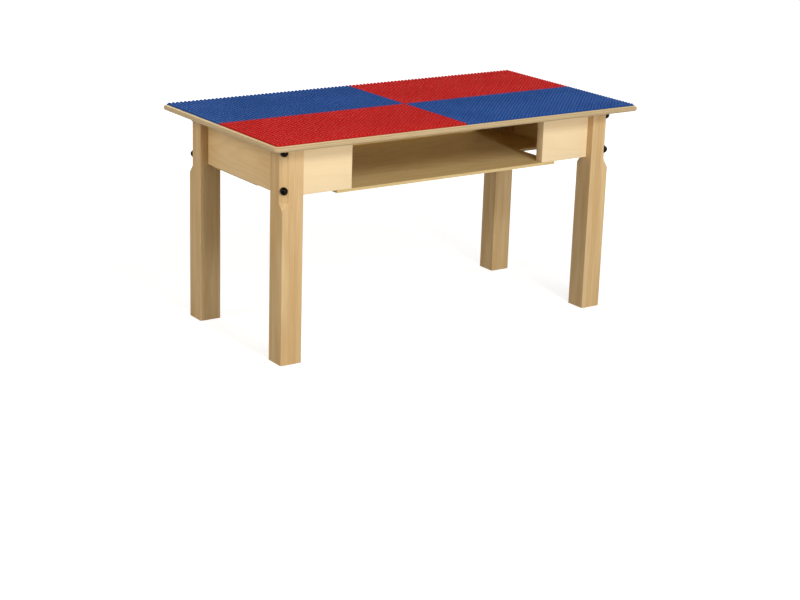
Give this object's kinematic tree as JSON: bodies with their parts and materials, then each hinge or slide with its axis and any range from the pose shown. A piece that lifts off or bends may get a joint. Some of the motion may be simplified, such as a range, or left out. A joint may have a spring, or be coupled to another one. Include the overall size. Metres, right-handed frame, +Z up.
{
  "type": "kids table with storage",
  "caption": "Low wooden activity table for children: studded red and blue building plates on top, square bolted legs and an open storage bay with a shelf under the top.",
  "frame": {"origin": "on the floor, under the middle of the table", "axes": "+X to the right along the table's length, -Y out of the storage bay's mouth, +Z up"},
  "size_m": [0.78, 0.396, 0.3944],
  "materials": {
    "top_birch": "birch plywood, clear satin lacquer, rounded edge showing its plies",
    "plate_red": "moulded red plastic with round studs, semi-gloss",
    "plate_blue": "moulded blue plastic with round studs, semi-gloss",
    "leg_wood": "solid hardwood, clear satin lacquer",
    "panel_birch": "birch plywood, clear satin lacquer",
    "shelf_birch": "thin birch plywood, clear satin lacquer",
    "block_wood": "plain softwood, unfinished",
    "black_steel": "black zinc plated steel",
    "zinc_steel": "bright zinc plated steel",
    "yellow_zinc": "yellow zinc plated steel"
  },
  "bodies": {
    "root": {"tabletop": "top_birch", "stud_plate_front_left": "plate_red", "stud_plate_front_right": "plate_blue", "stud_plate_back_left": "plate_blue", "stud_plate_back_right": "plate_red", "leg_front_left": "leg_wood", "leg_front_right": "leg_wood", "leg_back_left": "leg_wood", "leg_back_right": "leg_wood", "end_apron_left": "panel_birch", "end_apron_right": "panel_birch", "back_apron": "panel_birch", "front_panel_left": "panel_birch", "front_panel_right": "panel_birch", "storage_shelf": "shelf_birch", "corner_block_front_left": "block_wood", "corner_block_front_right": "block_wood", "corner_block_back_left": "block_wood", "corner_block_back_right": "block_wood", "top_cleat_left": "block_wood", "top_cleat_right": "block_wood", "top_cleat_back": "block_wood", "top_cleat_front_left": "block_wood", "top_cleat_front_right": "block_wood", "leg_bolts": "black_steel", "leg_bolt_washers": "zinc_steel", "leg_bolt_nuts": "zinc_steel", "block_screws": "yellow_zinc", "cleat_side_screws": "yellow_zinc", "cleat_top_screws": "yellow_zinc", "shelf_screws": "yellow_zinc"}
  },
  "joints": []
}
